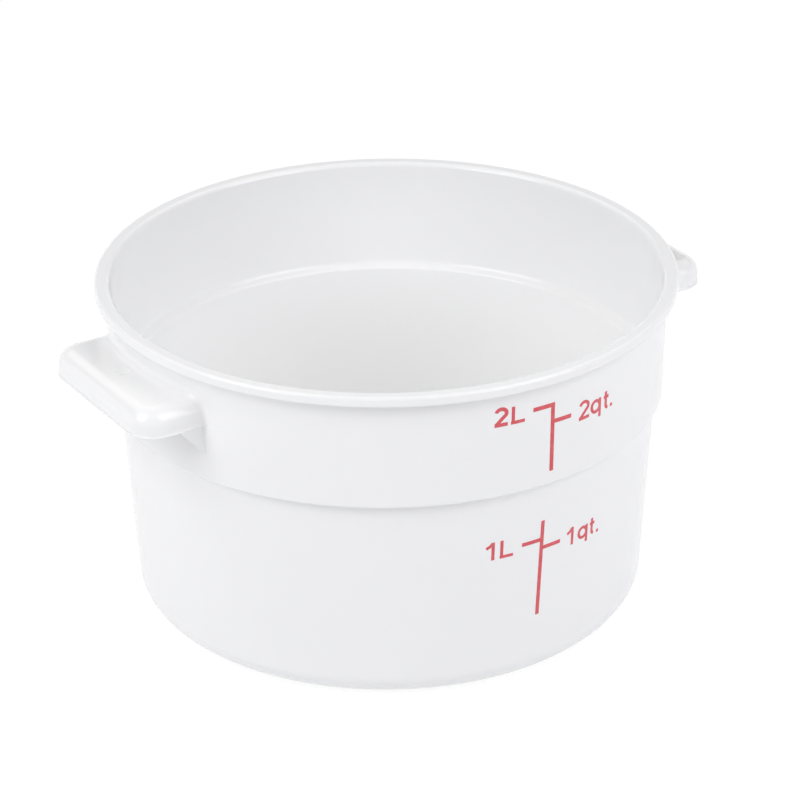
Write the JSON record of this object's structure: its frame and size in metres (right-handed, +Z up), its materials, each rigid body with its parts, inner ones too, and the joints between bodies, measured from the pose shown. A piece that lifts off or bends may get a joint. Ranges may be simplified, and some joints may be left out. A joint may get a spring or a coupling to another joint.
{
  "type": "food storage container",
  "caption": "Round white plastic food storage tub with a stepped wall, a rolled-out rim, two skirted ledge handles and printed volume scales.",
  "frame": {"origin": "centre of the tub's base, on the plane of the foot ring", "axes": "+Z up out of the open top; the handles lie along +X and -X; the printed scales face -Y"},
  "size_m": [0.2064, 0.182, 0.1075],
  "materials": {
    "white_polypropylene": "moulded, glossy to satin",
    "coral_ink": "printed"
  },
  "bodies": {
    "root": {"tub_moulding": "white_polypropylene", "upper_scale": "coral_ink", "lower_scale": "coral_ink"}
  },
  "joints": []
}
